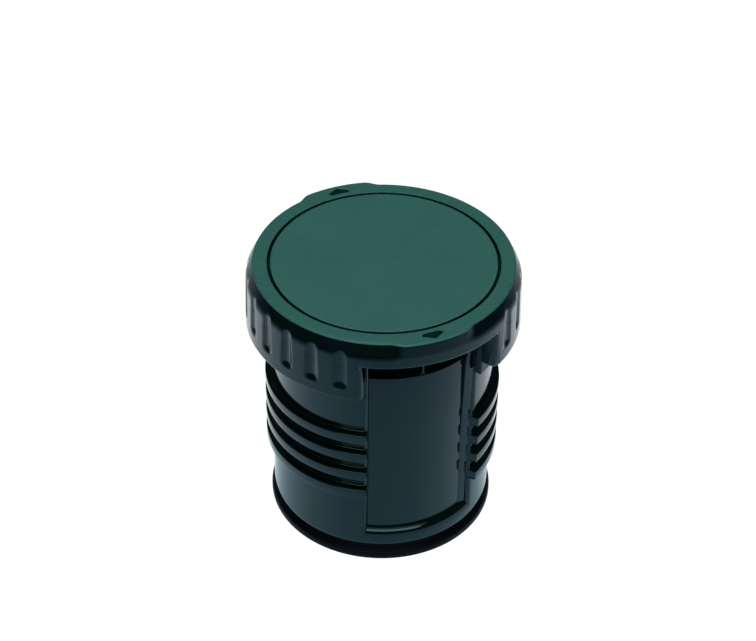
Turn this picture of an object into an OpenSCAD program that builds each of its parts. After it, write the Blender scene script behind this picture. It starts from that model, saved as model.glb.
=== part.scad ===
// Pour-through screw stopper for a wide-mouth vacuum flask.
// The frame: +Z up, origin at the centre of the seal's underside, the two pour openings face -Y and +Y.

/* [Overall] */
// Height from the seal's underside to the top face
overall_h = 66.2; // [66:0.1:68]

/* [Grip] */
// Outer radius of the skirt at its top
grip_r = 30.0; // [29.8:0.05:30.5]
// How much wider the skirt is at its lower edge
grip_draft = 0.25; // [0.1:0.05:0.4]
// Outer radius of the ring's flat top face
ring_face_r = 28.4; // [28.2:0.05:28.8]
// Outer radius of the top face at a lobe
lobe_face_r = 29.6; // [29.3:0.05:29.7]
// Half of the angle that a lobe spans
lobe_half_deg = 16; // [12:1:20]
// Height of the sloped shoulder
shoulder_h = 3.0; // [2:0.1:3.5]
// Height of the skirt, from the top face to its lower edge
skirt_h = 14.8; // [14:0.1:16]
// Outer radius of the collar inside the skirt
collar_r = 26.7; // [26.5:0.05:27.2]
// How far the collar hangs below the skirt
collar_h = 3.6; // [2:0.1:5]
// Thickness of the grip's top plate at the ring
plate_t = 5.2; // [5:0.1:5.6]

/* [Grip flutes] */
// Angle from the pour axis to the first flute
flute_first_deg = 39.5; // [38:0.5:42]
// Number of flutes on each side
flute_count = 9; // [5:1:11]
// Radius of a flute's round bottom
flute_r = 2.5; // [1.5:0.1:3]
// Depth of a flute
flute_depth = 0.5; // [0.3:0.05:1]
// Length of a flute, from the top face down
flute_h = 12.0; // [9:0.5:12.5]

/* [Pour openings] */
// Half of the angle that a pour opening spans
pour_half_deg = 30; // [26:0.5:32]
// Depth of the skirt that is left above a pour opening
pour_lip_h = 5.75; // [5.5:0.05:6.5]
// Radius of the skirt's vertical corners at a pour opening
skirt_corner_r = 1.5; // [1:0.1:1.6]

/* [Arrow marks] */
// Radius from the axis to the arrow's base
arrow_base_r = 26.45; // [26:0.05:26.8]
// Radius from the axis to the arrow's tip
arrow_tip_r = 28.65; // [28:0.05:29]
// Half of the arrow's width
arrow_half_w = 2.5; // [1.5:0.1:3]
// Depth of the arrow mark
arrow_depth = 0.5; // [0.3:0.1:1]

/* [Top disc] */
// Radius of the disc set into the grip
disc_r = 24.75; // [24.5:0.05:24.9]
// Width of the groove round the disc
disc_gap = 0.5; // [0.3:0.05:0.6]
// Thickness of the disc
disc_t = 1.2; // [1:0.1:1.5]
// Thickness of the pad under the disc
pad_t = 1.9; // [1.5:0.1:2]
// Radius of the pad
pad_r = 21.9; // [20:0.1:22]

/* [Threaded sleeve] */
// Outer radius of the sleeve
sleeve_r = 24.7; // [24.5:0.05:24.8]
// Wall thickness of the sleeve
sleeve_t = 1.45; // [1.3:0.05:1.5]
// Height of the plain ring below the sill
ring_h = 2.0; // [1.5:0.1:3]
// Radius of the sill's round edge
sill_r = 2.75; // [2:0.05:3]
// Radius of the vertical corners beside a channel
sleeve_corner_r = 1.1; // [0.8:0.1:1.2]

/* [Thread] */
// Pitch of the thread
thread_pitch = 5.3; // [5:0.1:5.6]
// Height of a rib above the sleeve
thread_depth = 1.6; // [1.2:0.1:1.7]
// Width of a rib at its crest
thread_crest = 2.4; // [1.8:0.1:2.6]
// Number of ribs in each run
thread_turns = 4; // [2:1:5]
// Height of the first run's top rib, half way along it
thread_top_h = 37.4; // [36:0.1:42]
// How far the second run's ribs sit below the first run's
run_stagger = 1.9; // [1.5:0.05:2.65]

/* [Can] */
// Depth of the can's top face below the top of the stopper
can_drop = 14.2; // [14:0.1:16]
// Wall thickness of the can
can_wall = 1.2; // [1:0.1:1.5]
// Radius of the boss that the grip's hub fits over
boss_r = 12.45; // [10:0.05:14]
// Height of the boss
boss_h = 4.0; // [3:0.5:6]
// Wall thickness of the hub
hub_wall = 2.5; // [2:0.1:3]
// Thickness of a web
web_t = 0.9; // [0.8:0.1:1.5]

/* [Base] */
// Height of the seal
seal_h = 4.75; // [4:0.05:5.5]
// Largest radius of the seal
seal_r = 25.35; // [25.1:0.05:25.8]
// Radius of the seal's neck, under the sleeve
seal_neck_r = 23.9; // [23.5:0.1:24.3]
// Height of the seal's neck
seal_neck_h = 1.3; // [1:0.1:1.6]
// Radius of the spigot that the seal fits over
spigot_r = 20.9; // [19:0.05:21.5]
// Radial running clearance between the seal and the spigot
seal_clear = 0.08; // [0.03:0.01:0.1]
// Thickness of the bottom plate's walls
base_t = 1.6; // [1.4:0.1:2]
// Width of the foot that runs round the bottom plate
foot_w = 4.0; // [3:0.1:6]
// How far the middle of the bottom plate is raised
middle_rise = 1.3; // [0.8:0.1:2]

/* [Hidden] */

// Facets for a full circle
$fn = 96;
// Overlap that keeps a cut from ending on a face
eps = 0.5;
// Assembly gap between two pieces that are welded or glued together
fit_gap = 0.05;

// Heights, measured from the seal's underside
skirt_z = overall_h - skirt_h;
collar_z = skirt_z - collar_h;
plate_z = overall_h - plate_t;
pour_z = overall_h - pour_lip_h;
can_top_z = overall_h - can_drop;
disc_seat_z = overall_h - disc_t;
sill_z = seal_h + ring_h;
foot_z = 0.4;
lip_z = seal_h + base_t + 2.2;
foam_z = foot_z + base_t + middle_rise + fit_gap;
foam_top_z = can_top_z - can_wall - fit_gap;

// Radii
sleeve_in_r = sleeve_r - sleeve_t;
can_r = sleeve_in_r - fit_gap;
can_in_r = can_r - can_wall;
collar_in_r = sleeve_r + 2 * fit_gap;
hub_in_r = boss_r + fit_gap;
hub_r = hub_in_r + hub_wall;
far_r = grip_r + 6;
web_r = can_r - 0.3;

// The grip's recesses
pad_recess_z = disc_seat_z - pad_t - 2 * fit_gap;
tongue_slot_h = 1.2;

// The sleeve's tongues stand between the two pour openings
tongue_half_deg = 90 - pour_half_deg;

// Flutes, spread evenly over each side
flute_step_deg = (180 - 2 * flute_first_deg) / (flute_count - 1);

// Thread rib, as a section with its upper flank at zero: a flat flank on top and a sloping one underneath
thread_r = sleeve_r + thread_depth;
rib_root_r = sleeve_r - 0.5;
rib_edge = 0.2;
rib_under = thread_crest + 0.6 * thread_depth;
rib_section = [
    [rib_root_r, 0],
    [thread_r - rib_edge, 0],
    [thread_r, -rib_edge],
    [thread_r, rib_edge - thread_crest],
    [thread_r - rib_edge, -thread_crest],
    [rib_root_r, -rib_under]
];
rib_half_deg = tongue_half_deg - 0.4;
rib_half_rise = thread_pitch * rib_half_deg / 360;
rib_tilt_deg = atan(rib_half_rise / (sleeve_r * sin(rib_half_deg)));

green = [0.16, 0.33, 0.30];
light_green = [0.20, 0.39, 0.36];

// A solid ring of rectangular section
module ring(r_out, r_in, z0, z1) {
    translate([0, 0, z0]) difference() {
        cylinder(r = r_out, h = z1 - z0);
        translate([0, 0, -eps]) cylinder(r = r_in, h = z1 - z0 + 2 * eps);
    }
}

// A flat wedge out to radius far_r, centred on the -Y direction
module wedge(half_deg) {
    x = far_r * tan(half_deg);
    polygon([[0, 0], [-x, -far_r], [x, -far_r]]);
}

// The waste outside a rounded corner where a radial end face meets a cylinder of radius r
module corner_waste(r, corner_r, end_deg) {
    lean_deg = asin(corner_r / (r - corner_r));
    mid_y = -(r - corner_r) * cos(lean_deg);
    rotate(end_deg) difference() {
        translate([-eps, -r - eps]) square([corner_r + eps, r + eps + mid_y]);
        translate([corner_r, mid_y]) circle(r = corner_r);
    }
}

// The opening between two upright ends with rounded outer corners, facing -Y
module pour_gap(r, corner_r) {
    wedge(pour_half_deg);
    for (side = [0, 1]) mirror([side, 0]) corner_waste(r, corner_r, pour_half_deg);
}

// Repeats a shape for the -Y and +Y pour openings
module both_pours() {
    for (turn = [0, 180]) rotate(turn) children();
}

// The grip's outside, with the top face out to top_r and a slope down to the skirt
module grip_blank(top_r) {
    rotate_extrude() polygon([
        [0, skirt_z],
        [grip_r + grip_draft, skirt_z],
        [grip_r, overall_h - shoulder_h],
        [top_r, overall_h],
        [0, overall_h]
    ]);
}

module flute() {
    z0 = overall_h - flute_h;
    translate([0, flute_depth - grip_r - flute_r, z0]) cylinder(r = flute_r, h = flute_h + eps, $fn = 48);
}

// A blunt arrow head that points outwards over a pour opening
module arrow_mark() {
    side_r = arrow_base_r + 0.7;
    base_half_w = 0.8 * arrow_half_w;
    translate([0, 0, overall_h - arrow_depth]) linear_extrude(arrow_depth + eps) polygon([
        [-base_half_w, -arrow_base_r],
        [-arrow_half_w, -side_r],
        [0, -arrow_tip_r],
        [arrow_half_w, -side_r],
        [base_half_w, -arrow_base_r]
    ]);
}

module grip_cap() {
    color(green) difference() {
        union() {
            difference() {
                union() {
                    grip_blank(ring_face_r);
                    intersection() {
                        grip_blank(lobe_face_r);
                        both_pours() linear_extrude(overall_h + eps) wedge(lobe_half_deg);
                    }
                }
                // The hollow under the plate, round the hub
                translate([0, 0, skirt_z - eps]) cylinder(r = collar_in_r, h = plate_z - skirt_z + eps);
            }
            ring(collar_r, collar_in_r, collar_z, skirt_z + 1);
            ring(hub_r, hub_in_r, can_top_z, plate_z + eps);
        }
        // Seat for the disc, and the recess for the pad under it
        translate([0, 0, disc_seat_z]) cylinder(r = disc_r + disc_gap, h = disc_t + eps);
        translate([0, 0, pad_recess_z]) cylinder(r = pad_r + 2 * fit_gap, h = overall_h);
        // Slot that the sleeve's tongues are welded into
        ring(sleeve_r + fit_gap, sleeve_in_r - fit_gap, plate_z - eps, plate_z + tongue_slot_h);
        both_pours() {
            translate([0, 0, collar_z - eps]) linear_extrude(pour_z - collar_z + eps) difference() {
                pour_gap(grip_r + grip_draft, skirt_corner_r);
                circle(r = collar_in_r - eps);
            }
            arrow_mark();
            for (i = [0 : flute_count - 1]) rotate(flute_first_deg + i * flute_step_deg) flute();
        }
    }
}

module top_disc() {
    color(light_green) translate([0, 0, disc_seat_z]) cylinder(r = disc_r, h = disc_t);
}

module cap_pad() {
    color("whitesmoke") translate([0, 0, pad_recess_z + fit_gap]) cylinder(r = pad_r, h = pad_t);
}

// One rib of the thread, centred on the -X direction: an arc that is tilted to follow the right-handed helix
module thread_rib(mid_z) {
    translate([0, 0, mid_z]) rotate([-rib_tilt_deg, 0, 0]) rotate(180 - rib_half_deg)
        rotate_extrude(angle = 2 * rib_half_deg) polygon(rib_section);
}

module thread_run(top_z) {
    for (i = [0 : thread_turns - 1]) thread_rib(top_z - i * thread_pitch);
}

module thread_sleeve() {
    tongue_h = plate_z + tongue_slot_h - 2 * fit_gap - sill_z;
    color(green) {
        ring(sleeve_r, sleeve_in_r, seal_h, sill_z);
        // The sill: a round edge that runs out of each channel
        rotate_extrude() intersection() {
            translate([sleeve_r - sill_r, sill_z - eps]) union() {
                translate([0, eps]) circle(r = sill_r);
                square([sill_r, eps]);
            }
            translate([sleeve_in_r, sill_z - eps]) square([sleeve_t, sill_r + eps]);
        }
        translate([0, 0, sill_z]) linear_extrude(tongue_h) difference() {
            circle(r = sleeve_r);
            circle(r = sleeve_in_r);
            both_pours() pour_gap(sleeve_r, sleeve_corner_r);
        }
        thread_run(thread_top_h);
        rotate(180) thread_run(thread_top_h - run_stagger);
    }
}

module inner_can() {
    color(green) {
        ring(can_r, can_in_r, seal_h + base_t, can_top_z - can_wall);
        translate([0, 0, can_top_z - can_wall]) cylinder(r = can_r, h = can_wall);
        translate([0, 0, can_top_z - eps]) cylinder(r = boss_r, h = boss_h + eps);
        // A thin upright web splits each pour opening
        both_pours() translate([-web_t / 2, -web_r, can_top_z - eps])
            cube([web_t, web_r - hub_r - fit_gap, plate_z - fit_gap - can_top_z + eps]);
    }
}

// Fills the can and the hollow of the bottom plate
module foam_core() {
    color("wheat") {
        translate([0, 0, foam_z]) cylinder(r = spigot_r - base_t - fit_gap, h = lip_z - foam_z + eps);
        translate([0, 0, lip_z + fit_gap]) cylinder(r = can_in_r - fit_gap, h = foam_top_z - lip_z - fit_gap);
    }
}

// Closes the can: a raised middle, a foot, the spigot for the seal and a lip inside the can
module bottom_plate() {
    foot_in_r = spigot_r - foot_w;
    middle_r = foot_in_r - middle_rise;
    spigot_in_r = spigot_r - base_t;
    lip_r = can_in_r - fit_gap;
    color(green) rotate_extrude() polygon([
        [0, foot_z + middle_rise],
        [middle_r, foot_z + middle_rise],
        [foot_in_r, foot_z],
        [spigot_r, foot_z],
        [spigot_r, seal_h],
        [can_r, seal_h],
        [can_r, seal_h + base_t],
        [lip_r, seal_h + base_t],
        [lip_r, lip_z],
        [spigot_in_r, lip_z],
        [spigot_in_r, foot_z + base_t],
        [foot_in_r, foot_z + base_t],
        [middle_r, foot_z + base_t + middle_rise],
        [0, foot_z + base_t + middle_rise]
    ]);
}

module base_seal() {
    bulge_h = seal_h - seal_neck_h;
    bulge_r = bulge_h / 2;
    core_r = seal_r - bulge_r;
    in_r = spigot_r + seal_clear;
    // The profile, as a neck on top of a round-edged foot
    color([0.07, 0.07, 0.08]) rotate_extrude() {
        translate([in_r, 0]) square([core_r - in_r, bulge_h]);
        translate([in_r, bulge_h - 0.01]) square([seal_neck_r - in_r, seal_neck_h + 0.01]);
        intersection() {
            translate([core_r, bulge_r]) circle(r = bulge_r, $fn = 48);
            translate([core_r - 0.01, 0]) square([bulge_r + 0.01, bulge_h]);
        }
    }
}

grip_cap();
top_disc();
cap_pad();
thread_sleeve();
inner_can();
foam_core();
bottom_plate();
base_seal();
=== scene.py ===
"""The looks of a vacuum flask's pour-through stopper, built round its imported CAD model."""

import math

import bmesh
import bpy
import numpy as np
from mathutils import Euler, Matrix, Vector


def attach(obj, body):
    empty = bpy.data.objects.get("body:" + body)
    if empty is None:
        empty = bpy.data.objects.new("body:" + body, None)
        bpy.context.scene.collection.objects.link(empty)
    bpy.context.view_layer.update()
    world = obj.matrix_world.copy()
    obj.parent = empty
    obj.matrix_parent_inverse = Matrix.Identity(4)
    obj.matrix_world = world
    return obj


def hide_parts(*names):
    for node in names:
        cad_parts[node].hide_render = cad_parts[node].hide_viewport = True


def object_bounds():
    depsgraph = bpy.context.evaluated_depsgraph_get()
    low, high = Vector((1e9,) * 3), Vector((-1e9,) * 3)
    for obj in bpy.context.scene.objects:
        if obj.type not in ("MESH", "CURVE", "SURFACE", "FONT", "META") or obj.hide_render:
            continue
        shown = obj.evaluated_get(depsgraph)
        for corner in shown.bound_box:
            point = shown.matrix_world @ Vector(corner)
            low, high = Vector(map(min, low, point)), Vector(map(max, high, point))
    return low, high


MM = 0.001

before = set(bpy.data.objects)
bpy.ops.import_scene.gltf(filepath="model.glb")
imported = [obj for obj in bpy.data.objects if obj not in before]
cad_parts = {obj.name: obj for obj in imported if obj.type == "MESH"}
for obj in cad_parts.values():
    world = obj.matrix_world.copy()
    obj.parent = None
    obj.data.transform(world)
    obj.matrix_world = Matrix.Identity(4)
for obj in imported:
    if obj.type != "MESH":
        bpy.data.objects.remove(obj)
start_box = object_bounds()

# ---------------------------------------------------------------- sizes, in millimetres and degrees

# Heights of the grip, from the top down. Hidden ends stop at HIDDEN_TOP, just short of the plate's underside.
TOP = round(start_box[1][2] / MM, 2)
DISC_SEAT = 65.0
SHOULDER = 63.2
PAD_SEAT = 63.0
UNDER = 61.0
HIDDEN_TOP = 60.9
LIP = 60.45
SKIRT = 51.4
COLLAR = 47.8

# Radii of the grip. The wall widens by DRAFT from the shoulder to the skirt's edge. The lip's radius keeps
# the model inside the CAD's box. END is half of a pour opening's angle.
GRIP_R = 30.0
DRAFT = 0.25
LIP_R = 30.045
RING_FACE_R = 28.4
LOBE_OUT = 1.2
IN_R = 26.7
RECESS_R = 25.25
COLLAR_IN_R = 24.8
PAD_R = 22.0
HUB_R = 15.0
HUB_IN_R = 12.5
END = 30.0

# Flutes: their angles from the pour axis, depth, half width and the heights between which their ledge rises
FLUTE_FIRST = 39.5
FLUTE_STEP = 12.625
FLUTE_IN = 0.45
FLUTE_HALF = 1.4
FLUTE_LEDGE = (54.0, 55.6)

# The arrow mark: half its width, its tip's distance from the axis, its depth, and its corners as
# (sideways, distance from the axis)
ARROW_HALF = 2.5
ARROW_TIP = 28.65
ARROW_DEPTH = 0.45
ARROW = np.array([[-2.0, 26.45], [-ARROW_HALF, 27.15], [0, ARROW_TIP], [ARROW_HALF, 27.15], [2.0, 26.45]])

# The threaded sleeve: its walls, foot, rounded sill, ribs, and the height of each side's highest rib
SLEEVE_R = 24.7
SLEEVE_IN_R = 23.25
FOOT = 4.75
SILL = 6.75
SILL_R = 2.75
TONGUE_TOP = 61.3
PITCH = 5.3
RIB_COUNT = 4
RIB_H = 1.6
RIB_W = 2.4
RIB_EDGE = 0.3
FIRST_RUN = 37.4
SECOND_RUN = FIRST_RUN - 1.9
RIGHT_END = 30.7
LEFT_END = 29.3

# The can, the webs on it, the bottom plate's spigot and the seal
CAN_R = 23.2
CAN_TOP = 52.0
CAN_FOOT = 6.35
WEB_HALF = 0.28
WEB_FOOT = 0.8
SPIGOT_IN_R = 19.3
SEAL_IN_R = 20.98
SEAL_TOP = 4.7
DISC_R = 24.62

# ---------------------------------------------------------------- profiles and meshes

MERGE_M = 2e-6
SLIVER_M = 1e-7


def rounded(corners):
    """Points (r, z) along a line through corners (r, z, fillet radius, number of arc steps)."""
    points = []
    for i, (r, z, radius, steps) in enumerate(corners):
        here = np.array([r, z], float)
        if steps == 0:
            points.append(here)
            continue
        back = np.array(corners[i - 1][:2], float) - here
        ahead = np.array(corners[(i + 1) % len(corners)][:2], float) - here
        back /= np.linalg.norm(back)
        ahead /= np.linalg.norm(ahead)
        half = math.acos(np.clip(back @ ahead, -1, 1)) / 2
        reach = radius / math.tan(half)
        middle = back + ahead
        centre = here + middle / np.linalg.norm(middle) * radius / math.sin(half)
        a = here + back * reach - centre
        b = here + ahead * reach - centre
        turn = math.pi - 2 * half
        for k in range(steps + 1):
            s = k / steps
            points.append(centre + (a * math.sin((1 - s) * turn) + b * math.sin(s * turn)) / math.sin(turn))
    return np.array(points)


def smooth(low, high, value):
    """A soft step, from 0 at low to 1 at high."""
    t = np.clip((value - low) / (high - low), 0, 1)
    return t * t * (3 - 2 * t)


def polar(radius, degrees):
    """The plan point at an angle from the pour axis."""
    a = math.radians(degrees)
    return np.array([radius * math.sin(a), -radius * math.cos(a)])


def angle_of(point):
    """The angle of a plan point from the pour axis."""
    return math.degrees(math.atan2(point[0], -point[1]))


def finish_mesh(name, verts, faces, sharp_deg=38):
    """A smooth-shaded object from points in millimetres, with its creases kept sharp."""
    mesh = bpy.data.meshes.new(name)
    mesh.from_pydata([tuple(p) for p in np.asarray(verts) * MM], [], faces)
    bm = bmesh.new()
    bm.from_mesh(mesh)
    bmesh.ops.remove_doubles(bm, verts=bm.verts, dist=MERGE_M)
    bmesh.ops.dissolve_degenerate(bm, edges=bm.edges, dist=SLIVER_M)
    bmesh.ops.recalc_face_normals(bm, faces=bm.faces)
    bm.to_mesh(mesh)
    bm.free()
    mesh.polygons.foreach_set("use_smooth", [True] * len(mesh.polygons))
    mesh.set_sharp_from_angle(angle=math.radians(sharp_deg))
    obj = bpy.data.objects.new(name, mesh)
    bpy.context.collection.objects.link(obj)
    return obj


def loop_grid(name, columns, sharp_deg=38):
    """A closed surface from a ring of closed columns: an array of columns by points by xyz."""
    n, m = columns.shape[:2]
    i, j = np.meshgrid(np.arange(n), np.arange(m), indexing="ij")
    i2 = (i + 1) % n
    j2 = (j + 1) % m
    faces = np.stack([i * m + j, i2 * m + j, i2 * m + j2, i * m + j2], -1).reshape(-1, 4)
    return finish_mesh(name, columns.reshape(-1, 3), faces.tolist(), sharp_deg)


def turned(name, corners, steps=240):
    """A closed profile of (r, z) corners, turned round the axis."""
    line = rounded(corners)
    angles = np.arange(steps) * 2 * math.pi / steps
    columns = [np.stack([line[:, 0] * math.sin(a), -line[:, 0] * math.cos(a), line[:, 1]], 1) for a in angles]
    return loop_grid(name, np.array(columns))


def swept(name, sections):
    """A solid through sections that are rings of equally many points, with its two ends closed."""
    m = len(sections[0])
    faces = []
    for i in range(len(sections) - 1):
        for j in range(m):
            k = (j + 1) % m
            faces.append((i * m + j, (i + 1) * m + j, (i + 1) * m + k, i * m + k))
    last = (len(sections) - 1) * m
    faces.append(tuple(range(m)))
    faces.append(tuple(range(last, last + m))[::-1])
    return finish_mesh(name, np.array(sections).reshape(-1, 3), faces)


def whole_turn(quarter, mirrored, opposite, opposite_mirrored):
    """Joins four quarters, each given from the pour axis to the side, into one ring of columns."""
    flip_y = np.array([1, -1, 1])
    flip_x = np.array([-1, 1, 1])
    half_turn = np.array([-1, -1, 1])
    second = (mirrored * flip_y)[::-1][1:]
    third = (opposite * half_turn)[1:]
    fourth = (opposite_mirrored * flip_x)[::-1][1:-1]
    return np.concatenate([quarter, second, third, fourth])


def end_arc(radius, corner, end_deg, steps):
    """Plan points and outward directions round the vertical corner of a wall that ends on a radial plane."""
    lean = math.asin(corner / (radius - corner))
    centre = np.array([corner, -(radius - corner) * math.cos(lean)])
    e = math.radians(end_deg)
    spin = np.array([[math.cos(e), -math.sin(e)], [math.sin(e), math.cos(e)]])
    out = []
    for k in range(steps + 1):
        a = k / steps * (math.pi / 2 + lean)
        way = np.array([-math.cos(a), -math.sin(a)])
        out.append((spin @ (centre + corner * way), spin @ way))
    return out


# ---------------------------------------------------------------- grip and collar

# The rounded lip, the rounded rim as steps (inset, rise), and the rows of points: down the wall, where they
# are closer at the flutes' ledge, across the rim, and up the inner side
LIP_ROUND = 0.35
LIP_STEPS = 3
RIM_ROUND = 0.4
RIM_STEPS = 4
RIM = [(RIM_ROUND * (1 - math.cos(a)), RIM_ROUND * (1 - math.sin(a)))
       for a in np.linspace(0, math.pi / 2, RIM_STEPS + 1)]
WALL_ROWS = np.concatenate([
    np.linspace(LIP, 56.0, 6),
    np.linspace(55.7, 53.9, 18),
    np.linspace(53.4, SKIRT + RIM_ROUND, 4)])
RIM_ROWS = 5
INNER_ROWS = (SKIRT + RIM_ROUND, 54.5, 57.5, 60.0, LIP)


def flute_cut(radius, height, degrees):
    """Moves wall points in to the nearest flute, with soft edges and a rounded ledge at its lower end."""
    if degrees < FLUTE_FIRST - FLUTE_STEP / 2:
        return radius
    off = (degrees - FLUTE_FIRST + FLUTE_STEP / 2) % FLUTE_STEP - FLUTE_STEP / 2
    across = GRIP_R * math.radians(off)
    bottom = GRIP_R - FLUTE_IN + FLUTE_IN * (across / FLUTE_HALF) ** 2
    soft = 0.07
    cut = -soft * np.logaddexp(-radius / soft, -bottom / soft)
    return radius + (np.minimum(cut, radius) - radius) * smooth(*FLUTE_LEDGE, height)


def polygon_depth(points, corners):
    """Signed distance of plan points from a polygon's edge, positive inside."""
    inside = np.zeros(len(points), bool)
    nearest = np.full(len(points), np.inf)
    for a, b in zip(corners, np.roll(corners, -1, 0)):
        edge = b - a
        along = np.clip(((points - a) @ edge) / (edge @ edge), 0, 1)
        nearest = np.minimum(nearest, np.linalg.norm(points - a - along[:, None] * edge, axis=1))
        crosses = (a[1] > points[:, 1]) != (b[1] > points[:, 1])
        at = a[0] + (points[:, 1] - a[1]) * edge[0] / (edge[1] if edge[1] else 1e-9)
        inside ^= crosses & (points[:, 0] < at)
    return np.where(inside, nearest, -nearest)


def grip_upper(degrees):
    """The grip's line (r, z) from the disc recess over the ring and the shoulder to just above the lip."""
    lobe = 1 - smooth(13, 20, degrees)
    line = rounded([
        (RECESS_R, DISC_SEAT, 0, 0),
        (RECESS_R, TOP, 0.22, 3),
        (RING_FACE_R + LOBE_OUT * lobe, TOP, 0.45, 5),
        (GRIP_R, SHOULDER, 3.6, 8),
        (LIP_R, LIP, 0, 0)])
    groove, ring, bend = line[:5], line[5:11], line[11:-1]
    flat = np.linspace(groove[-1], ring[0], 32)[1:-1]
    slope = np.linspace(ring[-1], bend[0], 7)[1:-1]
    wall = np.linspace(bend[-1], (LIP_R, LIP + LIP_ROUND), 6)[1:]
    line = np.concatenate([groove, flat, ring, slope, bend, wall])
    line[:, 0] = flute_cut(line[:, 0], line[:, 1], degrees)
    return line


def grip_column(degrees, outer=None, way=None, inner=None, stage=RIM_STEPS, closed=False):
    """One closed column of the grip. It is closed at the lip over a pour opening. At the opening's corner,
    outer and way give the plan point and the outward direction of the lower wall, inner the plan point of its
    inner side, and stage how far round the rim the column goes."""
    spin = polar(1, degrees)
    pts = [np.array([*(spin * r), z]) for r, z in grip_upper(degrees)]
    low_r = float(flute_cut(np.array([LIP_R]), np.array([LIP]), degrees)[0])
    low_wall = low_r if outer is None else float(np.linalg.norm(outer))
    depth = LIP_ROUND if closed else min(LIP_ROUND, low_r - low_wall)
    for k in range(1, LIP_STEPS + 1):
        a = k / LIP_STEPS * math.pi / 2
        r = low_r - depth * (1 - math.cos(a))
        pts.append(np.array([*(spin * r), LIP + LIP_ROUND * (1 - math.sin(a))]))

    def low(inset, z):
        """A point of the wall under the lip, moved in by inset."""
        if outer is not None:
            return np.array([*(outer - way * inset), z])
        r = GRIP_R + DRAFT * (SHOULDER - z) / (SHOULDER - SKIRT) if z < LIP else low_r
        r = float(flute_cut(np.array([r]), np.array([z]), degrees)[0])
        return np.array([*(spin * (r - inset)), z])

    steps = [k / (RIM_ROWS + 1) for k in range(1, RIM_ROWS + 1)]
    if closed:
        last = pts[-1]
        in_edge = np.array([*(spin * IN_R), LIP])
        pts += [last] * (len(WALL_ROWS) + len(RIM))
        pts += [last + (in_edge - last) * s for s in steps]
        pts += [in_edge] * (len(INNER_ROWS) + 1)
    else:
        pts += [low(0, z) for z in WALL_ROWS]
        pts += [low(RIM[min(k, stage)][0], SKIRT + RIM[min(k, stage)][1]) for k in range(len(RIM))]
        inset, rise = RIM[stage]
        a = low(inset, SKIRT + rise)
        along = np.array([math.cos(math.radians(END)), math.sin(math.radians(END))])
        b = np.array([*(spin * IN_R if outer is None else inner + along * inset), SKIRT + rise])
        pts += [a + (b - a) * s for s in steps] + [b]
        top_in = spin * IN_R if outer is None else inner
        pts += [np.array([*top_in, z]) for z in INNER_ROWS]
    # Inside the skirt: the plate's underside, the hub on the can, and the recess for the pad
    hidden = [(IN_R, UNDER), (20.0, UNDER), (HUB_R, UNDER), (HUB_R, (UNDER + CAN_TOP) / 2), (HUB_R, CAN_TOP),
              (HUB_IN_R, CAN_TOP), (HUB_IN_R, UNDER), (0, UNDER), (0, PAD_SEAT), (PAD_R, PAD_SEAT),
              (PAD_R, DISC_SEAT)]
    return np.array(pts + [np.array([*(spin * r), z]) for r, z in hidden])


def grip_quarter():
    """Columns of the grip from the pour axis round to the side, closer together over the arrow mark."""
    over_arrow = np.arange(0, 6.5, 0.25)
    columns = [grip_column(a, closed=True) for a in [*over_arrow, *np.arange(6.5, END - 0.2, 0.5), END]]
    arc = end_arc(30.1, 1.5, END, 10)
    inner = polar(IN_R, END)
    for k in range(RIM_STEPS + 1):
        columns.append(grip_column(END, *arc[0], inner=inner, stage=k))
    for point, way in arc[1:]:
        degrees = angle_of(point)
        columns.append(grip_column(degrees, point, way, inner=polar(IN_R, degrees)))
    step = 0.4
    start = angle_of(arc[-1][0]) + step
    columns += [grip_column(a) for a in np.linspace(start, 90, int((90 - start) / step) + 1)]
    columns = np.array(columns)
    # The arrow mark, pressed into the flat ring
    flat_points = columns[:, :, 2] > TOP - 0.01
    plan = np.stack([columns[:, :, 0], -columns[:, :, 1]], -1)[flat_points]
    columns[..., 2][flat_points] -= ARROW_DEPTH * smooth(-0.02, 0.14, polygon_depth(plan, ARROW))
    return columns


quarter = grip_quarter()
grip = loop_grid("grip_shell", whole_turn(quarter, quarter, quarter, quarter), 50)


def collar_side(name, turn_deg):
    """Half of the collar that hangs inside the skirt, between the two pour openings."""
    line = rounded([
        (COLLAR_IN_R, HIDDEN_TOP, 0, 0),
        (COLLAR_IN_R, COLLAR, 0.25, 3),
        (IN_R, COLLAR, 0.4, 4),
        (IN_R, HIDDEN_TOP, 0, 0)])
    ends = [(END + 0.02, 0.25), (END + 0.12, 0.1), (END + 0.5, 0.0)]
    middle = [(a, 0.0) for a in np.linspace(END + 1, 179 - END, 120)]
    sections = []
    for degrees, inset in ends + middle + [(180 - a, b) for a, b in ends[::-1]]:
        low, high = COLLAR_IN_R + 0.4 * inset, IN_R - inset
        sections.append([(*polar(min(max(r, low), high), degrees + turn_deg), max(z, COLLAR + inset))
                         for r, z in line])
    return swept(name, sections)


collars = [collar_side("collar_right", 0), collar_side("collar_left", 180)]

# ---------------------------------------------------------------- threaded sleeve


def rib_line(height, inset, wall):
    """One rib's section as (r, z from the upper flank), from its upper root to its lower root. height is 0 for
    bare wall and 1 for the rib, and inset rounds the rib's end."""
    if height == 0:
        return np.array([(wall, z) for z in np.linspace(0.3, -3.5, 19)])
    crest = SLEEVE_R + height * (RIB_H - inset)
    up = -inset
    down = inset - RIB_W
    return rounded([
        (wall, up + 1.0, 0, 0),
        (wall, up, 0.28, 3),
        (crest, up, 0.32, 5),
        (crest, down, 0.3, 3),
        (wall, down - 0.55, 0.3, 3),
        (wall, down - 1.6, 0, 0)])[1:]


SILL_FALL = math.acos((SLEEVE_IN_R - (SLEEVE_R - SILL_R)) / SILL_R)
SILL_LINE = [(SLEEVE_R - SILL_R + SILL_R * math.cos(a), SILL + SILL_R * math.sin(a))
             for a in np.linspace(0, SILL_FALL, 11)]


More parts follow.
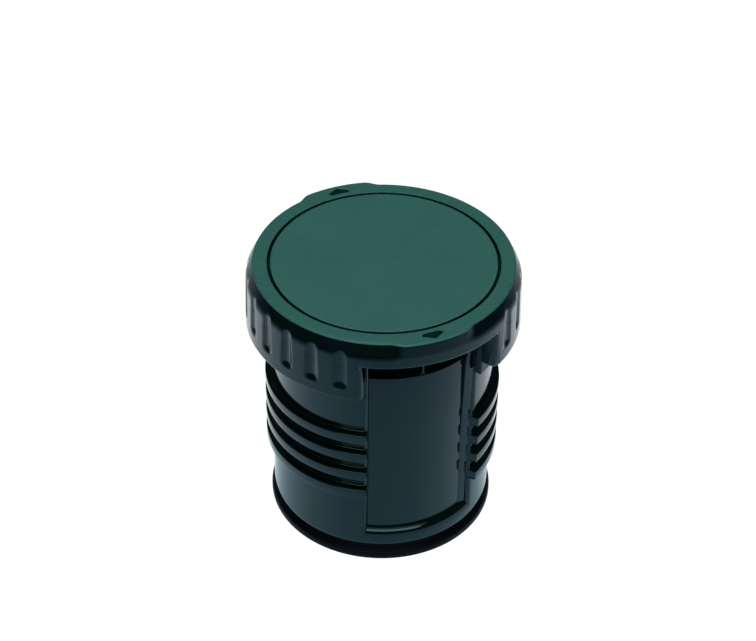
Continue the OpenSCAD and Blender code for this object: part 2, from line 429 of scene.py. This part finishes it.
def sill_height(radius):
    """Height of the rounded sill at a radius."""
    return SILL + math.sqrt(max(0, SILL_R**2 - (radius - SLEEVE_R + SILL_R) ** 2))


def sleeve_column(degrees, tops, outer=None, height=0.0, inset=0.0, inner=None, closed=False):
    """One closed column of the sleeve. It ends at the sill in a pour channel (closed), and otherwise goes up
    the tongue past the ribs. tops are the heights of the ribs' upper flanks, lowest first."""
    spin = polar(1, degrees)
    wall = SLEEVE_R if outer is None else float(np.linalg.norm(outer))
    sill_top = SILL_LINE[-1][1]
    pts = [(SLEEVE_R - 0.25, FOOT), (SLEEVE_R - 0.07, FOOT + 0.07), (SLEEVE_R, FOOT + 0.25)]
    pts += [(SLEEVE_R, 5.7), (SLEEVE_R, 6.4)]
    low = SLEEVE_IN_R if closed else wall
    pts += [(max(r, low), z if r >= low else sill_height(low)) for r, z in SILL_LINE]
    rows = [(wall, z) for z in np.linspace(9.8, tops[0] - 4.2, 6)]
    for top in tops:
        rows += [(r, top + z) for r, z in rib_line(height, inset, wall)[::-1]]
    rows += [(wall, z) for z in np.linspace(tops[-1] + 0.8, TONGUE_TOP, 8)]
    pts += [(SLEEVE_IN_R, sill_top)] * len(rows) if closed else rows
    pts3 = [np.array([*(spin * r), z]) for r, z in pts]
    in_rows = [sill_top] * 6 if closed else list(np.linspace(TONGUE_TOP, sill_top, 6))
    edge = spin * SLEEVE_IN_R if inner is None else inner
    pts3 += [np.array([*edge, z]) for z in in_rows]
    pts3 += [np.array([*(spin * SLEEVE_IN_R), z]) for z in (8.0, FOOT)]
    return np.array(pts3)


def sleeve_quarter(run_top, sense, end_deg):
    """Columns of the sleeve from the pour axis to the side. run_top is the height of the side's highest rib at
    its middle, sense which way the thread rises, and end_deg where the tongue ends."""

    def column(degrees, **settings):
        drift = sense * PITCH * (degrees - 90) / 360
        tops = [run_top + drift - i * PITCH for i in range(RIB_COUNT)][::-1]
        return sleeve_column(degrees, tops, **settings)

    columns = [column(a, closed=True) for a in [*np.arange(0, end_deg - 0.3, 0.75), end_deg]]
    arc = end_arc(SLEEVE_R, 1.1, end_deg, 10)
    columns.append(column(end_deg, outer=arc[0][0], inner=polar(SLEEVE_IN_R, end_deg)))
    plan = np.array([[angle_of(p), np.linalg.norm(p)] for p, _ in arc])
    # The ribs' rounded ends begin just inside the tongue's corner
    rib_end = end_deg + 0.4
    steps = [(rib_end, 0.0, 0.0)]
    for a in np.linspace(0, math.pi / 2, 4):
        along = math.degrees(RIB_EDGE * (1 - math.cos(a)) / SLEEVE_R)
        steps.append((rib_end + along, 1.0, RIB_EDGE * (1 - math.sin(a))))
    bare = [(a, 0.0 if a < rib_end else 1.0, 0.0) for a in plan[1:, 0] if not rib_end < a < steps[-1][0]]
    in_order = sorted(bare + steps, key=lambda item: (round(item[0], 6), item[1], -item[2]))
    for degrees, height, inset in in_order:
        radius = float(np.interp(degrees, plan[:, 0], plan[:, 1]))
        columns.append(column(degrees, outer=polar(radius, degrees), height=height, inset=inset))
    step = 0.6
    start = plan[-1, 0] + step
    columns += [column(a, height=1.0) for a in np.linspace(start, 90, int((90 - start) / step) + 1)]
    return np.array(columns)


sleeve = loop_grid("sleeve_shell", whole_turn(
    sleeve_quarter(SECOND_RUN, 1, RIGHT_END), sleeve_quarter(SECOND_RUN, -1, LEFT_END),
    sleeve_quarter(FIRST_RUN, 1, RIGHT_END), sleeve_quarter(FIRST_RUN, -1, LEFT_END)))


def inner_skin(name, turn_deg):
    """The slanted edge of the tongue's inner skin, which stands out of the tongue's end into the channel."""
    back = CAN_R - 0.1
    root_deg = RIGHT_END + 0.2
    sections = []
    for z in np.linspace(8.0, HIDDEN_TOP, 60):
        edge = 26.0 + 3.5 * float(smooth(48.5, 60.0, z))
        gap = 0.03 + 0.65 * min(max((z - 28.0) / 20.0, 0), 1)
        proud = 0.5 + 0.6 * min(max((z - 15.0) / 30.0, 0), 1)
        slant = [(gap - 0.05, edge), (gap - 0.01, edge + 0.03), (gap + 0.03, edge + 0.2), (proud, root_deg)]
        outline = [(back, edge), *[(CAN_R + rise, a) for rise, a in slant], (back, root_deg)]
        sections.append([(*polar(r, a + turn_deg), z) for r, a in outline])
    return swept(name, sections)


skins = [inner_skin("skin_front", 0), inner_skin("skin_back", 180)]

# ---------------------------------------------------------------- disc, can, webs, bottom plate and seal

disc = turned("disc_plate", [
    (0, DISC_SEAT, 0, 0), (DISC_R, DISC_SEAT, 0, 0), (DISC_R, TOP, 0.2, 4), (24.1, TOP, 0, 0),
    (16, TOP, 0, 0), (8, TOP, 0, 0), (0, TOP, 0, 0)])

can = turned("can_shell", [
    (0, 50.8, 0, 0), (22.0, 50.8, 0, 0), (22.0, CAN_FOOT, 0, 0), (CAN_R, CAN_FOOT, 0, 0), (CAN_R, 20, 0, 0),
    (CAN_R, 36, 0, 0), (CAN_R, CAN_TOP, 0.12, 4), (12.45, CAN_TOP, 0.3, 3), (12.45, 56.0, 0.3, 3),
    (0, 56.0, 0, 0)])


def web(name, turn_deg):
    """A thin upright web with concave fillets at its foot and a rounded front edge."""
    tall = HIDDEN_TOP - CAN_TOP
    bend = [(WEB_HALF + WEB_FOOT * (1 - math.sin(a)), WEB_FOOT * (1 - math.cos(a)))
            for a in np.linspace(0, math.pi / 2, 6)]
    side = [(WEB_HALF + WEB_FOOT, -0.2), *bend, (WEB_HALF, 3), (WEB_HALF, tall)]
    outline = [(-x, z) for x, z in side] + side[::-1]
    front = [(-22.9 + 0.35 * (1 - math.cos(a)), math.sin(a)) for a in np.linspace(0.2, math.pi / 2, 6)]
    spin = math.radians(turn_deg)
    sections = []
    for y, grow in front + [(-19, 1), (-15.05, 1)]:
        section = []
        for x, z in outline:
            keep = x * (grow if z > 0 else 1)
            section.append((keep * math.cos(spin) - y * math.sin(spin),
                            keep * math.sin(spin) + y * math.cos(spin), CAN_TOP + z))
        sections.append(section)
    return swept(name, sections)


webs = [web("web_front", 0), web("web_back", 180)]

plate = turned("plate_shell", [
    (0, 1.7, 0, 0), (2.2, 1.7, 0.25, 3), (2.6, 2.05, 0.25, 3), (7.0, 2.05, 0.2, 3), (7.4, 1.7, 0.2, 3),
    (15.6, 1.7, 0.5, 4), (16.9, 0.4, 0.5, 4), (20.9, 0.4, 0.45, 4), (20.9, SEAL_TOP, 0, 0),
    (CAN_R, SEAL_TOP, 0, 0), (CAN_R, CAN_FOOT, 0, 0), (21.95, CAN_FOOT, 0, 0), (21.95, 8.5, 0, 0),
    (SPIGOT_IN_R, 8.5, 0, 0), (SPIGOT_IN_R, 2.6, 0, 0), (0, 3.3, 0, 0)])

seal = turned("seal_ring", [
    (SEAL_IN_R, 0.35, 0.3, 3), (21.7, 0.0, 0.2, 3), (22.3, 0.0, 0.12, 2), (22.5, 0.3, 0.12, 2),
    (22.9, 0.3, 0.12, 2), (23.1, 0.0, 0.12, 2), (24.05, 0.0, 0.6, 4), (25.35, 0.9, 1.0, 6),
    (25.35, 2.6, 0.85, 6), (24.15, 3.45, 0.25, 3), (23.9, 3.6, 0.15, 3), (23.9, SEAL_TOP, 0.12, 3),
    (SEAL_IN_R, SEAL_TOP, 0.12, 3)])

# ---------------------------------------------------------------- materials


class Nodes:
    """A short way to build a node material."""

    def __init__(self, name):
        self.material = bpy.data.materials.new(name)
        self.material.use_nodes = True
        self.tree = self.material.node_tree
        self.shader = next(n for n in self.tree.nodes if n.type == "BSDF_PRINCIPLED")
        self.place = self.add("ShaderNodeTexCoord").outputs["Object"]

    def add(self, kind, inputs=None, **settings):
        """A new node. Its inputs are given as values or as other nodes' outputs."""
        node = self.tree.nodes.new(kind)
        for key, value in settings.items():
            setattr(node, key, value)
        for key, value in (inputs or {}).items():
            if isinstance(value, bpy.types.NodeSocket):
                self.tree.links.new(value, node.inputs[key])
            else:
                node.inputs[key].default_value = value
        return node

    def link(self, output, socket):
        """Joins an output to an input of the shader."""
        self.tree.links.new(output, self.shader.inputs[socket])

    def noise(self, scale, detail=4.0, rough=0.55):
        inputs = {"Vector": self.place, "Scale": scale, "Detail": detail, "Roughness": rough}
        return self.add("ShaderNodeTexNoise", inputs).outputs["Fac"]

    def spread(self, value, low, high, out_low, out_high):
        """Maps a value from low..high to out_low..out_high, held at both ends."""
        inputs = {"Value": value, "From Min": low, "From Max": high, "To Min": out_low, "To Max": out_high}
        return self.add("ShaderNodeMapRange", inputs).outputs["Result"]

    def above(self, value, edge, width):
        """0 under an edge in millimetres and 1 over it, rising within a width."""
        return self.spread(value, edge * MM, (edge + width) * MM, 0, 1)

    def below(self, value, edge, width=0.1):
        """1 under an edge in millimetres and 0 over it, falling within a width."""
        return self.spread(value, edge * MM, (edge + width) * MM, 1, 0)

    def math(self, operation, a, b=0.0):
        return self.add("ShaderNodeMath", {0: a, 1: b}, operation=operation).outputs[0]

    def times(self, a, b):
        return self.math("MULTIPLY", a, b)

    def mix_values(self, factor, a, b):
        return self.add("ShaderNodeMix", {0: factor, 2: a, 3: b}, data_type="FLOAT").outputs[0]

    def blend(self, factor, a, b, way="MIX"):
        """A mix of two colours, each a triple or another node's output."""
        a, b = (c if isinstance(c, bpy.types.NodeSocket) else (*c, 1) for c in (a, b))
        return self.add("ShaderNodeMix", {0: factor, 6: a, 7: b}, data_type="RGBA", blend_type=way).outputs[2]

    def cloudy(self, colour, scale, detail, dark, light):
        """A colour that drifts between a darker and a lighter tone of itself."""
        clouds = self.spread(self.noise(scale, detail), 0.35, 0.65, 0, 1)
        return self.blend(clouds, [c * dark for c in colour], [c * light for c in colour])

    def part(self, vector, axis):
        """The X, Y or Z of a vector."""
        return self.add("ShaderNodeSeparateXYZ", {0: vector}).outputs[axis]

    def up(self):
        """How far the surface faces upwards."""
        return self.part(self.add("ShaderNodeNewGeometry").outputs["Normal"], "Z")

    def length(self, vector):
        return self.add("ShaderNodeVectorMath", {0: vector}, operation="LENGTH").outputs["Value"]

    def bump(self, height, distance, strength):
        inputs = {"Height": height, "Distance": distance, "Strength": strength}
        self.link(self.add("ShaderNodeBump", inputs).outputs["Normal"], "Normal")


def shaded_sunk_places(m, high, top):
    """A mask of what lies lower than the ring's flat top, the groove round the disc and the arrow marks, where
    painted shade goes.
    """
    flat = m.add("ShaderNodeVectorMath", {0: m.place, 1: (1, 1, 0)}, operation="MULTIPLY").outputs["Vector"]
    out = m.length(flat)
    within_groove = m.below(out, RECESS_R + 0.25)
    groove = m.times(m.above(high, DISC_SEAT - 0.2, 0.1), within_groove)
    groove = m.times(groove, m.math("SUBTRACT", 1.0, top))
    aside = m.math("ABSOLUTE", m.part(m.place, "X"))
    over_arrow = m.times(m.below(aside, ARROW_HALF + 0.1), m.below(out, ARROW_TIP + 0.05))
    low = m.times(m.above(high, TOP - 0.7, 0.1), m.below(high, TOP - 0.12, 0.09))
    return m.math("MAXIMUM", groove, m.times(low, m.math("MAXIMUM", over_arrow, within_groove)))


def plastic(name, colour, worn, gloss, satin_lit_top=None):
    """Moulded plastic: cloudy pigment, flow marks, polishing haze and rubbed edges. satin_lit_top is the
    colour of the finely textured finish on a flat top face, painted much lighter than the sides as painted
    light from above; sunk places there stay dark as painted shade."""
    m = Nodes(name)
    base = m.cloudy(colour, 90, 5, 0.9, 1.12)
    edge = m.add("ShaderNodeNewGeometry").outputs["Pointiness"]
    rub = m.times(m.spread(edge, 0.55, 0.65, 0, 0.4), m.spread(m.noise(400, 3), 0.4, 0.7, 0.2, 1))
    base = m.blend(rub, base, worn)
    haze = m.spread(m.noise(260, 6, 0.65), 0.3, 0.7, gloss * 0.85, gloss * 1.25)
    rough = m.math("ADD", haze, m.times(rub, 0.1))
    flow = m.add("ShaderNodeMapping", {"Vector": m.place, "Scale": (1, 1, 0.25)}).outputs["Vector"]
    wave = m.add("ShaderNodeTexNoise", {"Vector": flow, "Scale": 160.0, "Detail": 2.0}).outputs["Fac"]
    height = m.times(wave, 0.6)
    if satin_lit_top:
        high = m.part(m.place, "Z")
        # Up-facing faces of the ring's flat top: a real satin texture (rougher, finely bumped), and a much
        # lighter colour that is painted light from above
        top = m.times(m.spread(m.up(), 0.25, 0.55, 0, 1), m.above(high, TOP - 0.4, 0.08))
        base = m.blend(top, base, m.cloudy(satin_lit_top, 700, 4, 0.95, 1.06))
        rough = m.mix_values(top, rough, 0.5)
        # Painted shade: the groove and the arrow marks get a dark colour, more roughness and little specular
        sunk_shade = shaded_sunk_places(m, high, top)
        rough = m.mix_values(sunk_shade, rough, 0.7)
        base = m.blend(sunk_shade, base, SUNK_SHADE)
        m.link(m.spread(sunk_shade, 0, 1, 0.5, 0.04), "Specular IOR Level")
        height = m.math("ADD", height, m.times(m.times(m.noise(5200, 2, 0.5), top), 0.5))
    m.link(base, "Base Color")
    m.link(rough, "Roughness")
    m.bump(height, 0.00002, 0.6)
    m.shader.inputs["IOR"].default_value = 1.5
    return m.material


def matt_disc_rim_shade(name, colour):
    """The disc's fine even texture. Its rim, in the groove, is darkened as painted shade."""
    m = Nodes(name)
    speck = m.spread(m.noise(1500, 3), 0.45, 0.7, 0, 0.16)
    base = m.blend(speck, m.cloudy(colour, 60, 4, 0.96, 1.05), [c * 1.35 for c in colour])
    # Painted shade: faces that don't face up, the rim in the groove, are darkened to a tenth of the colour
    base = m.blend(m.spread(m.up(), 0.2, 0.5, 1, 0), base, [c * 0.1 for c in colour])
    m.link(base, "Base Color")
    m.link(m.spread(m.noise(900, 3), 0.3, 0.7, 0.48, 0.6), "Roughness")
    m.bump(m.noise(5200, 3), 0.00003, 0.7)
    return m.material


def rubber(name):
    """Smooth black rubber with a faint bloom."""
    m = Nodes(name)
    bloom = m.spread(m.noise(120, 5), 0.45, 0.75, 0, 0.5)
    m.link(m.blend(bloom, (0.002, 0.002, 0.003), (0.004, 0.004, 0.005)), "Base Color")
    m.link(m.spread(m.noise(300, 5), 0.3, 0.7, 0.4, 0.55), "Roughness")
    m.shader.inputs["Specular IOR Level"].default_value = 0.13
    m.shader.inputs["Specular Tint"].default_value = (0.85, 0.6, 0.85, 1)
    m.bump(m.noise(2500, 4), 0.00002, 0.4)
    return m.material


def foam(name):
    """Rigid foam with small round cells."""
    m = Nodes(name)
    cells = m.add("ShaderNodeTexVoronoi", {"Vector": m.place, "Scale": 900.0}).outputs["Distance"]
    m.link(m.blend(m.spread(cells, 0.1, 0.7, 0, 1), (0.55, 0.45, 0.28), (0.8, 0.72, 0.52)), "Base Color")
    m.shader.inputs["Roughness"].default_value = 0.85
    m.bump(cells, 0.0002, 0.8)
    return m.material


def pad(name):
    """White moulded pad with a slight cloud."""
    m = Nodes(name)
    clouds = m.spread(m.noise(150, 4), 0.35, 0.65, 0, 1)
    m.link(m.blend(clouds, (0.7, 0.7, 0.68), (0.8, 0.8, 0.78)), "Base Color")
    m.link(m.spread(m.noise(300, 4), 0.3, 0.7, 0.45, 0.6), "Roughness")
    m.bump(m.noise(1200, 3), 0.00002, 0.4)
    return m.material


DARK = (0.0003, 0.0046, 0.005)
WORN = (0.004, 0.013, 0.013)
# SATIN_LIT: the flat top's colour, painted far lighter than DARK as painted light from above
SATIN_LIT = (0.05, 0.185, 0.162)
# SUNK_SHADE: painted shade in the groove round the disc and in the arrow marks
SUNK_SHADE = (0.001, 0.03, 0.022)
DISC = (0.052, 0.195, 0.165)
# Dark plastic whose flat top is painted lighter (painted light) and whose groove and arrow marks are painted
# dark (painted shade)
grip_finish_painted_light = plastic("grip_finish_painted_light", DARK, WORN, 0.08, satin_lit_top=SATIN_LIT)
side_finish = plastic("side_finish", DARK, WORN, 0.09)
shade_finish = plastic("shade_finish", DARK, DARK, 0.45)

# Pieces that stand for a whole CAD node, with the slot and the body of each
looks = [
    (grip, grip_finish_painted_light, "grip_green", "grip_cap", "stopper"),
    (disc, matt_disc_rim_shade("disc_finish_rim_shade", DISC), "disc_green", "top_disc", "stopper"),
    (sleeve, side_finish, "sleeve_green", "thread_sleeve", "stopper"),
    (can, side_finish, "can_green", "inner_can", "stopper"),
    (plate, side_finish, "plate_green", "bottom_plate", "stopper"),
    (seal, rubber("seal_finish"), "seal_black", "base_seal", "seal"),
]
for piece, finish, slot, node, body in looks:
    piece.data.materials.append(finish)
    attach(piece, body)
    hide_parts(node)

# Pieces that are a share of a node that one of those replaces
shares = [
    (webs, side_finish, "can_green"),
    (collars, shade_finish, "grip_green"),
    (skins, side_finish, "sleeve_green"),
]
for pieces, finish, slot in shares:
    for piece in pieces:
        piece.data.materials.append(finish)
        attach(piece, "stopper")

# Hidden nodes that keep their CAD shape
for node, finish in (("foam_core", foam("foam_finish")), ("cap_pad", pad("pad_finish"))):
    for material_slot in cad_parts[node].material_slots:
        material_slot.material = finish

# ---------------------------------------------------------------- floor, lights and camera

# The camera's angle from the pour axis, round the object, in degrees
CAMERA_TURN = -22.5
# Half of the floor's side, and how far the light-only floor is at its brightest, in metres
FLOOR_HALF = 3.0
BRIGHT_REACH = 0.105


def emitter(name):
    """A material that only gives off light."""
    m = Nodes(name)
    out = next(n for n in m.tree.nodes if n.type == "OUTPUT_MATERIAL")
    m.tree.nodes.remove(m.shader)
    m.shader = m.add("ShaderNodeEmission")
    m.tree.links.new(m.shader.outputs[0], out.inputs["Surface"])
    return m


def floor_sheet(name, height, material):
    """A square sheet a little under the object, which isn't part of it."""
    s = FLOOR_HALF
    mesh = bpy.data.meshes.new(name)
    mesh.from_pydata([(-s, -s, height), (s, -s, height), (s, s, height), (-s, s, height)], [], [(0, 1, 2, 3)])
    mesh.materials.append(material)
    obj = bpy.data.objects.new(name, mesh)
    bpy.context.collection.objects.link(obj)
    return obj


def white_light(name):
    """Plain white, for the floor that is seen."""
    m = emitter(name)
    m.shader.inputs["Strength"].default_value = 1.05
    return m.material


def side_light(name):
    """The light that the floor throws on the sides: dim and blue towards the camera, bright at the sides and
    behind, and dimmer and bluer further away."""
    m = emitter(name)
    turn = (0, 0, math.radians(-CAMERA_TURN))
    facing = m.add("ShaderNodeMapping", {"Vector": m.place, "Rotation": turn}).outputs["Vector"]
    heading = m.math("ARCTAN2", m.part(facing, "X"), m.times(m.part(facing, "Y"), -1))
    off_camera = m.math("ABSOLUTE", m.times(heading, 1 / math.pi))
    tint = m.add("ShaderNodeValToRGB", {0: off_camera})
    # Colours by the angle from the camera's side, in degrees
    tints = [
        (0, (0.23, 0.45, 0.58)), (25, (0.24, 0.48, 0.61)), (50, (0.32, 0.56, 0.69)), (80, (0.48, 0.69, 0.8)),
        (120, (0.87, 0.97, 1.0)), (180, (0.92, 0.98, 1.0))]
    stops = tint.color_ramp.elements
    while len(stops) < len(tints):
        stops.new(0.5)
    for stop, (degrees, colour) in zip(stops, tints):
        stop.position = degrees / 180
        stop.color = (*colour, 1)
    near = m.math("DIVIDE", BRIGHT_REACH, m.length(m.place))
    far_away = m.spread(near, 0.15, 0.7, 1, 0)
    m.link(m.blend(far_away, tint.outputs["Color"], (0.6, 0.88, 1.0), "MULTIPLY"), "Color")
    dimmest = m.spread(off_camera, 0.3, 0.55, 0.03, 0.11)
    m.link(m.spread(near, 0.1, 1.0, dimmest, 1.15), "Strength")
    return m.material


# The floor that is seen lights nothing, and the floor that gives light isn't seen
floor = floor_sheet("floor", -0.2 * MM, white_light("floor_white"))
floor.visible_glossy = False
floor.visible_diffuse = False
floor.visible_shadow = False

bounce = floor_sheet("floor_bounce", -0.4 * MM, side_light("floor_bounce_light"))
bounce.visible_camera = False

world = bpy.data.worlds.new("studio")
bpy.context.scene.world = world
world.use_nodes = True
world.node_tree.nodes["Background"].inputs["Color"].default_value = (0.4, 0.95, 1.0, 1)
world.node_tree.nodes["Background"].inputs["Strength"].default_value = 0.05


def soft_light(name, azimuth, elevation, distance, width, height, power, colour):
    """A rectangular soft light that faces the object. Azimuth is from the camera's side, to the right."""
    a = math.radians(azimuth + CAMERA_TURN)
    e = math.radians(elevation)
    aim = Vector((0, 0, 0.035))
    where = Vector((math.sin(a) * math.cos(e), -math.cos(a) * math.cos(e), math.sin(e))) * distance + aim
    lamp = bpy.data.lights.new(name, "AREA")
    lamp.shape = "RECTANGLE"
    lamp.size = width
    lamp.size_y = height
    lamp.energy = power
    lamp.color = colour
    obj = bpy.data.objects.new(name, lamp)
    obj.location = where
    obj.rotation_euler = (aim - where).to_track_quat("-Z", "Y").to_euler()
    bpy.context.collection.objects.link(obj)


soft_light("key", 0, 32, 1.2, 1.7, 0.4, 4.6, (0.6, 0.95, 1.0))
soft_light("key_glow", 0, 40, 1.2, 1.9, 0.75, 2.4, (0.5, 0.95, 0.9))
soft_light("top_back", 180, 82, 1.2, 0.7, 0.7, 4.25, (1.0, 1.0, 0.97))

# The camera that was fitted to the photograph's view
camera_data = bpy.data.cameras.new("camera")
camera_data.lens = 101.8
camera_data.sensor_width = 36
camera_data.clip_start = 0.01
camera = bpy.data.objects.new("camera", camera_data)
bpy.context.collection.objects.link(camera)
bpy.context.scene.camera = camera
camera.location = (-0.14092, -0.34021, 0.34438)
camera.rotation_euler = Euler([math.radians(a) for a in (51.304, -0.616, -21.833)])

bpy.context.scene.view_settings.view_transform = "Standard"
bpy.context.scene.view_settings.look = "None"
